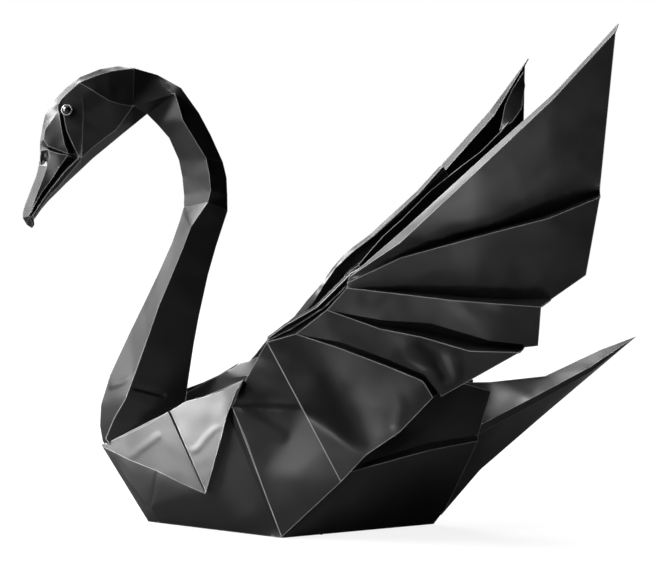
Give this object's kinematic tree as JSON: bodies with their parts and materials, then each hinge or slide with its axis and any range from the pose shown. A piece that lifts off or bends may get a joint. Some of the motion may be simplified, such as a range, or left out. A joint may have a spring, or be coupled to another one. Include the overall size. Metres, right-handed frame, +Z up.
{
  "type": "folded paper swan ornament",
  "caption": "Swan folded from black paper, with fan-pleated raised wings, a curved neck, a pointed tail, a hollow boat-shaped body on a flat base and bead eyes.",
  "frame": {"origin": "on the flat base, below the point where its side corners meet", "axes": "the swan faces -X, its left side is at -Y and +Z is up"},
  "size_m": [0.209, 0.087, 0.166],
  "materials": {
    "black_paper": "satin black craft paper, folded",
    "eye_bead": "glossy black bead with a pale rim"
  },
  "bodies": {
    "root": {"folded_sheet": "black_paper", "left_eye": "eye_bead", "right_eye": "eye_bead"}
  },
  "joints": []
}
